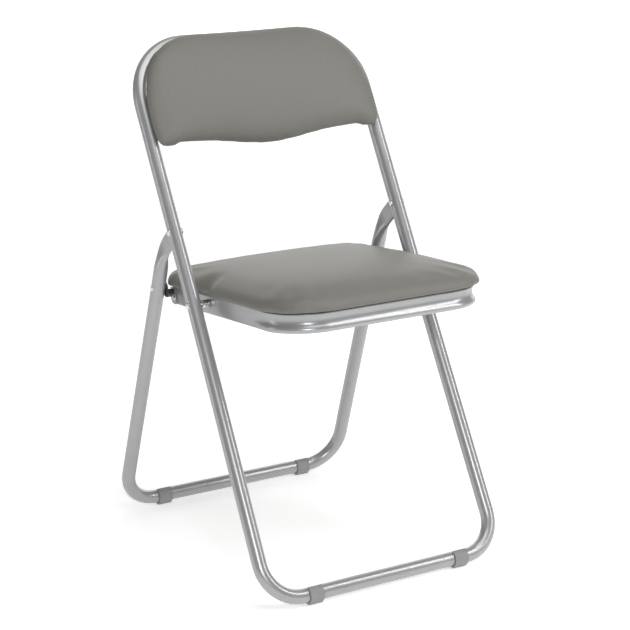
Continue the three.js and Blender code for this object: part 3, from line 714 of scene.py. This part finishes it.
def shade_dark_paint():
    finish = Finish("painted_shade_grey", Metallic=0.25, IOR=1.5)
    cloud = finish.noise(140.0, 4.0)
    # The near-black base colour is painted shade: it stands in for the shadow under the seat's rear end.
    finish.feed(finish.shader, "Base Color",
                finish.blend(cloud, (0.050, 0.050, 0.053, 1), (0.082, 0.082, 0.085, 1)))
    finish.feed(finish.shader, "Roughness", cloud * 0.18 + 0.36)
    finish.bump(finish.noise(1400.0, 2.0), 0.10, 0.0002)
    return finish.material


SHADE_DARK = shade_dark_paint()
rod_rings = [(ROD_R - ROD_EDGE, -ROD_HALF), (ROD_R, -ROD_HALF + ROD_EDGE), (ROD_R, 0),
             (ROD_R, ROD_HALF - ROD_EDGE), (ROD_R - ROD_EDGE, ROD_HALF)]
rod = turned("seat_rod_bar", rod_rings, seat_point(0, ROD_Y, ROD_Z), OUTWARD[1], 40)
hand_over(rod, "seat", SHADE_DARK, "dark_steel", "seat_rear_rod")


def hull(a, ra, b, rb):
    """Outline of a plate that joins two round ends."""
    way = Vector(b) - Vector(a)
    heading = math.degrees(math.atan2(way.y, way.x))
    spread = math.degrees(math.acos((ra - rb) / way.length))
    first = arc(a, ra, heading + spread, heading - spread + 360, 16)
    return first + arc(b, rb, heading - spread, heading + spread, 12)


def cradle(side, hand):
    rod_at = seat_point(0, ROD_Y, ROD_Z)
    rivet_at = rear_point(CRADLE_T)
    face = LEG_FACE - TUBE_R - GAP
    reach = face - TROUGH_INNER
    start = face - reach if side > 0 else -face
    outline = arc((0, 0), TROUGH_OUT, 180, 328, 22) + arc((0, 0), TROUGH_R, 328, 180, 22)
    trough = cut_out("trough", outline, reach,
                     lambda a, b, d: Vector((start + d, rod_at.y + a, rod_at.z + b)))
    tidy_mesh(trough)
    soften(trough, 0.0005)
    plate_start = face - CRADLE_SHEET if side > 0 else -face
    outline = hull((rivet_at.y, rivet_at.z), CRADLE_END, (rod_at.y, rod_at.z), TROUGH_OUT)
    plate = cut_out("plate", outline, CRADLE_SHEET, lambda a, b, d: Vector((plate_start + d, a, b)))
    tidy_mesh(plate)
    soften(plate, 0.0004)
    deselect()
    trough.select_set(True)
    plate.select_set(True)
    bpy.context.view_layer.objects.active = plate
    bpy.ops.object.join()
    plate.name = "cradle_" + hand
    tidy_mesh(plate)
    hand_over(plate, "rear_frame", SHADE_DARK, "dark_steel", "cradle_bracket_" + hand)


for side, hand in ((-1, "left"), (1, "right")):
    rail_plate(side, hand)
    cradle(side, hand)

# ------------------------------------------------------------------ seat board
# Pressed fibreboard, sawn to the seat's plan, that carries the foam and its cover. It lies on the
# pan's flange and is screwed to it from below.
BOARD_LOW = PAN_TOP + GAP
BOARD_HIGH = BOARD_LOW + 0.0077
SEAT_BOARD = {"half": 0.173, "front": -0.228, "rear": 0.134, "corners": (0.066, 0.036)}


def fibreboard():
    finish = Finish("raw_fibreboard", Roughness=0.82, IOR=1.4)
    fibre = finish.noise(520.0, 5.0, 0.62, (1.0, 3.2, 1.0))
    cloud = finish.noise(18.0, 3.0)
    light = finish.blend(cloud, (0.215, 0.145, 0.088, 1), (0.275, 0.190, 0.118, 1))
    finish.feed(finish.shader, "Base Color", finish.blend(fibre, (0.135, 0.090, 0.054, 1), light))
    finish.bump(fibre, 0.22, 0.0004)
    return finish.material


FIBREBOARD = fibreboard()
board = cut_out("seat_board_panel", plan(**SEAT_BOARD), BOARD_HIGH - BOARD_LOW,
                lambda a, b, d: seat_point(a, b, BOARD_LOW + d))
tidy_mesh(board)
soften(board, 0.0008)
tidy_mesh(board)
hand_over(board, "seat", FIBREBOARD, "board", "seat_board")

# -------------------------------------------------------------------- seat pad
# Foam under grey grained vinyl, pulled tight round the board: crowned, full at its rounded edges,
# and nipped in at each side where the front legs pass.
SEAT_PAD = {"half": 0.187, "front": -0.241, "rear": 0.146, "corners": (0.080, 0.048)}
SEAT_PAD_ENDS = (-0.242, 0.147)
PAD_LOW = BOARD_LOW + 0.0006
PAD_SIDE = 0.0085
PAD_EDGE = (0.017, 0.0140)
SEAT_PUFF = 0.0060
CLOTH_PRESSURE = 4.0
STAPLED_UP_TO = 0.004
CROWN = 0.0105
CROWN_HALF = 0.183
CROWN_MIDDLE = -0.047
CROWN_LONG = 0.189
NIP = 0.0085
NIP_AT = 0.002
NIP_LONG = 0.030
NIP_STARTS = 0.140
NIP_SINK = 0.45


def vinyl():
    finish = Finish("grey_grained_vinyl", IOR=1.5, Specular_IOR_Level=0.42)
    cells = finish.node("ShaderNodeTexVoronoi", {"feature": "DISTANCE_TO_EDGE"},
                        {"Vector": finish.place(), "Scale": 820.0})
    valleys = [(0.0, (0, 0, 0, 1)), (0.16, (1, 1, 1, 1))]
    grain = finish.node("ShaderNodeValToRGB", {"stops": valleys}, {0: cells})
    cloud = finish.noise(9.0, 3.0)
    fine = finish.noise(1500.0, 3.0)
    light = finish.blend(cloud, (0.168, 0.161, 0.142, 1), (0.184, 0.177, 0.156, 1))
    finish.feed(finish.shader, "Base Color", finish.blend(grain, (0.134, 0.129, 0.114, 1), light))
    finish.feed(finish.shader, "Roughness", cloud * 0.06 + fine * 0.08 + 0.42)
    finish.bump(grain * 0.7 + fine * 0.3, 0.20, 0.00022)
    return finish.material


VINYL = vinyl()


def pressed_in(v, towards, reach, deep):
    """How far a point is drawn in by a smooth nip of the given reach."""
    away = abs(v - towards) / reach
    return deep * (1 - away * away) ** 2 if away < 1 else 0


def foam_block(name, outline, side, edge, steps=5):
    """An upholsterer's block: an upright side, then a rounded upper edge of (width, height)."""
    block = cut_out(name, outline, side, lambda a, b, d: Vector((a, b, d)))
    tidy_mesh(block)
    deselect()
    bpy.context.view_layer.objects.active = block
    bpy.ops.object.mode_set(mode="EDIT")
    bpy.ops.mesh.select_mode(type="FACE")
    bpy.ops.mesh.select_all(action="DESELECT")
    shape = bmesh.from_edit_mesh(block.data)
    for face in shape.faces:
        face.select_set(face.normal.z > 0.9)
    bmesh.update_edit_mesh(block.data)
    for i in range(steps):
        before, after = (math.pi / 2 * k / steps for k in (i, i + 1))
        bpy.ops.mesh.inset(thickness=edge[0] * (math.cos(before) - math.cos(after)),
                           depth=edge[1] * (math.sin(after) - math.sin(before)))
    bpy.ops.mesh.select_mode(type="VERT")
    bpy.ops.object.mode_set(mode="OBJECT")
    return block


def draw_to(piece, low, high):
    """Draws a piece out evenly in its plan until its own box has these limits."""
    for axis in (0, 1):
        values = [v.co[axis] for v in piece.data.vertices]
        first, last = min(values), max(values)
        stretch = (high[axis] - low[axis]) / (last - first)
        for v in piece.data.vertices:
            v.co[axis] = low[axis] + (v.co[axis] - first) * stretch


def seat_pad_block():
    block = foam_block("seat_pad_block", plan(along=0.006, **SEAT_PAD), PAD_SIDE, PAD_EDGE)
    apply_modifier(block, "REMESH", mode="VOXEL", voxel_size=0.005)
    apply_modifier(block, "SMOOTH", factor=0.5, iterations=3)
    return block


def nip_in(piece):
    """Draws the cover in at both sides, where it is pulled back beside the front legs."""
    for v in piece.data.vertices:
        near = ease(abs(v.co.x), NIP_STARTS, SEAT_PAD["half"], 0, 1)
        raised = ease(v.co.z, 0.001, 0.010, 0.1, 1)
        nip = pressed_in(v.co.y, NIP_AT, NIP_LONG, NIP) * near * raised
        v.co.x -= math.copysign(nip, v.co.x)
        v.co.z -= NIP_SINK * nip * min(v.co.z / PAD_EDGE[1], 1)


def hold_group(piece, height):
    """Marks the points up to a height, which the staples hold while the pad fills."""
    group = piece.vertex_groups.new(name="held")
    held = [v.index for v in piece.data.vertices if v.co.z < height]
    group.add(held, 1.0, "REPLACE")


def fill_pad(piece, cap):
    """Swells a pad with foam: cloth under pressure, each point's way capped, the held side kept."""
    start = [v.co.copy() for v in piece.data.vertices]
    cloth = piece.modifiers.new("swell", "CLOTH")
    cloth.settings.use_pressure = True
    cloth.settings.uniform_pressure_force = CLOTH_PRESSURE
    cloth.settings.vertex_group_mass = "held"
    cloth.settings.effector_weights.gravity = 0
    cloth.settings.quality = 6
    cloth.settings.tension_stiffness = 12
    cloth.settings.compression_stiffness = 12
    cloth.settings.bending_stiffness = 2
    scene = bpy.context.scene
    for moment in range(1, 21):
        scene.frame_set(moment)
    swollen = piece.evaluated_get(bpy.context.evaluated_depsgraph_get())
    places = [v.co.copy() for v in swollen.data.vertices]
    piece.modifiers.remove(cloth)
    scene.frame_set(1)
    for v, before, after in zip(piece.data.vertices, start, places):
        way = after - before
        v.co = before + way * (cap / (cap + way.length))


def finish_pad(piece, name):
    apply_modifier(piece, "SMOOTH", factor=0.5, iterations=2)
    apply_modifier(piece, "SUBSURF", levels=1, render_levels=1)
    piece.name = name
    piece.vertex_groups.clear()
    for face in piece.data.polygons:
        face.use_smooth = True


def crown(x, y):
    """The foam's extra height over the middle of the seat."""
    across = min(abs(x) / CROWN_HALF, 1)
    along = min(abs(y - CROWN_MIDDLE) / CROWN_LONG, 1)
    return CROWN * (1 - across ** 3.2) * (1 - along ** 3.2)


seat_pad = seat_pad_block()
hold_group(seat_pad, STAPLED_UP_TO)
fill_pad(seat_pad, SEAT_PUFF)
top = PAD_SIDE + PAD_EDGE[1]
for v in seat_pad.data.vertices:
    v.co.z += crown(v.co.x, v.co.y) * min(max(v.co.z / top, 0), 1) ** 2
    v.co.z = max(v.co.z, 0)
apply_modifier(seat_pad, "SMOOTH", factor=0.5, iterations=9)
draw_to(seat_pad, (-SEAT_PAD["half"], SEAT_PAD_ENDS[0]), (SEAT_PAD["half"], SEAT_PAD_ENDS[1]))
nip_in(seat_pad)
finish_pad(seat_pad, "seat_pad_cover")
settle(seat_pad, seat_point(0, 0, PAD_LOW), (-SEAT_TILT, 0, 0))
hand_over(seat_pad, "seat", VINYL, "vinyl", "seat_pad")

# -------------------------------------------------------------------- backrest
# A bowed board with foam and the same vinyl, screwed from behind to the four lugs. Its lower edge
# dips in the middle; the upper edge follows the arch of the frame.
BACK = {"middle": 0.693, "shoulder": 0.706, "shoulder_x": 0.140, "side": 0.200,
        "top": 0.878, "flat_x": 0.086}
BACK_BOARD_BACK = 0.0113
BACK_BOARD_FRONT = 0.017
BACK_BOARD_INSET = 0.009
BACK_STRIP = 0.016
BACK_STRIPS_HALF = 11
BACK_PAD_SIDE = 0.007
BACK_PAD_EDGE = (0.0125, 0.0105)
BACK_PAD_BOX = ((-0.2010, 0.692), (0.2010, 0.880))
BACK_STAPLED_UP_TO = 0.0035
BACK_PUFF = 0.0050
BACK_FULL = 0.013
BACK_FULL_HALF, BACK_FULL_MIDDLE, BACK_FULL_HIGH, BACK_FULL_DEPTH = 0.202, 0.786, 0.096, 0.017


def bezier(*handles):
    """Points along one curve with two handles, without its first point."""
    points = interpolate_bezier(*[Vector((*h, 0)) for h in handles], 14)
    return [tuple(p)[:2] for p in points][1:]


def back_outline(inset):
    lower, shoulder, upper = BACK["middle"] + inset, BACK["shoulder"] + inset, BACK["top"] - inset
    side, out, flat = BACK["side"] - inset, BACK["shoulder_x"], BACK["flat_x"]
    half = bezier((0, lower), (0.058, lower), (0.072, shoulder), (out, shoulder))
    corner, hip = (side - 0.002, 0.716), (side - 0.004, 0.785)
    half += bezier((out, shoulder), (0.168, shoulder), (side - 0.005, 0.690 + inset), corner)
    half += bezier(corner, (side + 0.001, 0.740), (side + 0.001, 0.765), hip)
    half += bezier(hip, (side - 0.014, 0.835), (0.152, upper), (flat, upper))
    half += [(flat * (1 - i / 8), upper) for i in range(1, 8)]
    return half + [(0, upper)] + [(-x, s) for x, s in reversed(half)] + [(0, lower)]


def height_at(points, x):
    """The height of a line of points, given from left to right, at x."""
    for (x0, y0), (x1, y1) in zip(points, points[1:]):
        if x <= x1:
            return y0 + (y1 - y0) * max(x - x0, 0) / (x1 - x0)
    return points[-1][1]


def trim_lower_edge(piece, edge, column=0.006, reach=0.030):
    """Draws the cover's lower edge onto the wanted line, as an upholsterer pulls it straight."""
    lowest = {}
    for v in piece.data.vertices:
        place = round(v.co.x / column)
        lowest[place] = min(lowest.get(place, 1), v.co.y)
    found = [(place * column, y) for place, y in sorted(lowest.items())]
    for v in piece.data.vertices:
        if abs(v.co.x) < edge[-1][0]:
            low = height_at(found, v.co.x)
            v.co.y += (height_at(edge, v.co.x) - low) * ease(v.co.y - low, 0, reach, 1, 0)


def slice_across(piece):
    """Cuts the flat faces into upright strips, so that they can follow the bow."""
    deselect()
    bpy.context.view_layer.objects.active = piece
    piece.select_set(True)
    bpy.ops.object.mode_set(mode="EDIT")
    for i in range(-BACK_STRIPS_HALF, BACK_STRIPS_HALF + 1):
        bpy.ops.mesh.select_all(action="SELECT")
        bpy.ops.mesh.bisect(plane_co=(i * BACK_STRIP, 0, 0), plane_no=(1, 0, 0))
    bpy.ops.object.mode_set(mode="OBJECT")


back_board = cut_out("backrest_board_panel", back_outline(BACK_BOARD_INSET),
                     BACK_BOARD_FRONT - BACK_BOARD_BACK, lambda a, b, d: Vector((a, b, d)))
slice_across(back_board)
tidy_mesh(back_board)
soften(back_board, 0.0007)
for v in back_board.data.vertices:
    v.co = front_point(v.co.x, v.co.y, BACK_BOARD_BACK + v.co.z - bow(v.co.x))
tidy_mesh(back_board)
hand_over(back_board, "front_frame", FIBREBOARD, "board", "backrest_board")

back_pad = foam_block("backrest_pad_block", back_outline(-0.001), BACK_PAD_SIDE, BACK_PAD_EDGE)
apply_modifier(back_pad, "REMESH", mode="VOXEL", voxel_size=0.0045)
apply_modifier(back_pad, "SMOOTH", factor=0.5, iterations=2)
hold_group(back_pad, BACK_STAPLED_UP_TO)
fill_pad(back_pad, BACK_PUFF)
apply_modifier(back_pad, "SMOOTH", factor=0.5, iterations=22)
draw_to(back_pad, *BACK_PAD_BOX)
lower_half = [(0, BACK["middle"])] + bezier((0, BACK["middle"]), (0.058, BACK["middle"]),
                                            (0.072, BACK["shoulder"]), (0.164, BACK["shoulder"]))
trim_lower_edge(back_pad, [(-x, y) for x, y in reversed(lower_half)] + lower_half[1:])
apply_modifier(back_pad, "SMOOTH", factor=0.5, iterations=3)
for v in back_pad.data.vertices:
    rise = (v.co.y - BACK_FULL_MIDDLE) / BACK_FULL_HIGH
    fullness = max((1 - (v.co.x / BACK_FULL_HALF) ** 2) * (1 - rise ** 2), 0)
    swell = BACK_FULL * fullness * min(max(v.co.z / BACK_FULL_DEPTH, 0), 1)
    v.co = front_point(v.co.x, v.co.y, BACK_BOARD_BACK + max(v.co.z, 0.0004) + swell - bow(v.co.x))
finish_pad(back_pad, "backrest_cover")
hand_over(back_pad, "front_frame", VINYL, "vinyl", "backrest_pad")

# ---------------------------------------------------------------------- screws
# Zinc-plated pan-head screws with a cross recess: four hold the backrest through the lugs, four
# hold the seat board through the pan's flange.
HEAD_R, HEAD_RISE, SCREW_R = 0.0038, 0.0016, 0.0019
SCREW = dome(HEAD_R, HEAD_RISE) + [(HEAD_R, -0.0006), (SCREW_R, -0.0007), (SCREW_R, -0.0070),
                                   (0.0006, -0.0085)]
RECESS_LONG, RECESS_WIDE, RECESS_DEEP = 0.0042, 0.0009, 0.0016
RECESS_AT = 0.0014
SEAT_SCREWS = ((-0.110, -0.204), (0.110, -0.204), (-0.120, 0.085), (0.120, 0.085))
SEAT_SCREW_Z = PAN_TOP - SHEET - 0.0010
LUG_SCREW_N = 0.0051


def pan_screw(name, at, turn, body):
    screw = turned(name + "_pan_head", SCREW, (0, 0, 0), (0, 0, 0), 28)
    for size in ((RECESS_LONG, RECESS_WIDE, RECESS_DEEP), (RECESS_WIDE, RECESS_LONG, RECESS_DEEP)):
        cut(screw, rounded_box("recess", size, (0, 0, RECESS_AT), 0.0002, 2))
    settle(screw, at, turn)
    tidy_mesh(screw, 30)
    hand_over(screw, body, ZINC, "rivet_steel", name)


for i, (x, y) in enumerate(SEAT_SCREWS, 1):
    pan_screw("seat_screw_%d" % i, seat_point(x, y, SEAT_SCREW_Z), (math.pi - SEAT_TILT, 0, 0), "seat")
for side, hand in ((-1, "left"), (1, "right")):
    for i, s in enumerate(LUG_S, 1):
        at = front_point(side * LUG_X, s, TUBE_R - bow(LUG_X) - LUG_SCREW_N)
        pan_screw("backrest_screw_%s_%d" % (hand, i), at, (-math.pi / 2 - FRONT_LEAN, 0, 0), "front_frame")

# ---------------------------------------------------------------------- studio
# A pale floor and a white wall far behind, both faintly bright of themselves, under soft white
# lamps: a broad one overhead, one in front, and two tall strips that draw streaks along the tubes.
CAMERA = {"azimuth": -31.9157, "elevation": 15.8573, "roll": 0.2691, "lens": 109.87,
          "distance": 2.94712, "aim": (0, -0.035, 0.400), "right": -0.0047413, "up": -0.0277012}


WALL_AWAY = 5.2
WALL_HIGH = 2.2
WALL_SIZE = (9, 6, 1)
WALL_BRIGHT = 1.15


def chair_camera(azimuth, elevation, roll, lens, distance, aim, right, up):
    a, e, r = map(math.radians, (azimuth, elevation, roll))
    back = Vector((math.sin(a) * math.cos(e), -math.cos(a) * math.cos(e), math.sin(e)))
    level = Vector((math.cos(a), math.sin(a), 0))
    rise = back.cross(level)
    across = level * math.cos(r) + rise * math.sin(r)
    upward = rise * math.cos(r) - level * math.sin(r)
    data = bpy.data.cameras.new("camera")
    data.lens = lens
    camera = bpy.data.objects.new("camera", data)
    bpy.context.scene.collection.objects.link(camera)
    spot = Vector(aim) + across * right + upward * up + back * distance
    turn = Matrix((across, upward, back)).transposed().to_4x4()
    camera.matrix_world = Matrix.Translation(spot) @ turn
    bpy.context.scene.camera = camera


def lamp(name, spot, aim, size, power):
    data = bpy.data.lights.new(name, "AREA")
    data.shape = "RECTANGLE"
    data.size, data.size_y = size
    data.energy = power
    light = bpy.data.objects.new(name, data)
    bpy.context.scene.collection.objects.link(light)
    light.location = spot
    light.rotation_mode = "QUATERNION"
    light.rotation_quaternion = (Vector(aim) - Vector(spot)).to_track_quat("-Z", "Y")


def studio_floor():
    deselect()
    bpy.ops.mesh.primitive_plane_add(size=50, location=(0, 0, 0))
    floor = bpy.context.object
    floor.name = "studio_floor"
    finish = Finish("pale_floor", Roughness=0.9, Emission_Strength=0.38)
    finish.feed(finish.shader, "Emission Color", (1, 1, 1, 1))
    finish.feed(finish.shader, "Base Color",
                finish.blend(finish.noise(0.6, 1.0), (0.90, 0.90, 0.90, 1), (0.93, 0.93, 0.93, 1)))
    floor.data.materials.append(finish.material)


def studio_wall():
    """A bright white wall far behind the chair, square to the camera."""
    away = math.radians(CAMERA["azimuth"])
    deselect()
    spot = (-math.sin(away) * WALL_AWAY, math.cos(away) * WALL_AWAY, WALL_HIGH)
    bpy.ops.mesh.primitive_plane_add(size=1, location=spot, rotation=(math.pi / 2, 0, away))
    wall = bpy.context.object
    wall.name = "studio_wall"
    wall.scale = WALL_SIZE
    bpy.ops.object.transform_apply(location=True, rotation=True, scale=True)
    finish = Finish("white_wall", Roughness=0.9, Emission_Strength=1.0)
    bright, dimmer = [(level, level, level, 1) for level in (WALL_BRIGHT, WALL_BRIGHT * 0.98)]
    finish.feed(finish.shader, "Emission Color", finish.blend(finish.noise(0.4, 1.0), bright, dimmer))
    wall.data.materials.append(finish.material)


chair_camera(**CAMERA)
lamp("overhead", (0.1, -0.6, 2.7), (0, 0, 0.3), (2.0, 2.0), 30)
lamp("front_bank", (-1.3, -2.7, 1.5), (0, 0, 0.45), (0.9, 1.0), 30)
lamp("right_strip", (1.8, -1.7, 1.9), (0, 0, 0.5), (0.35, 2.4), 30)
lamp("left_strip", (-2.6, 1.1, 0.8), (0, 0, 0.5), (0.3, 1.8), 7)
studio_floor()
studio_wall()
world = bpy.data.worlds.new("studio_air")
world.use_nodes = True
world.node_tree.nodes["Background"].inputs["Color"].default_value = (1, 1, 1, 1)
world.node_tree.nodes["Background"].inputs["Strength"].default_value = 0.22
bpy.context.scene.world = world
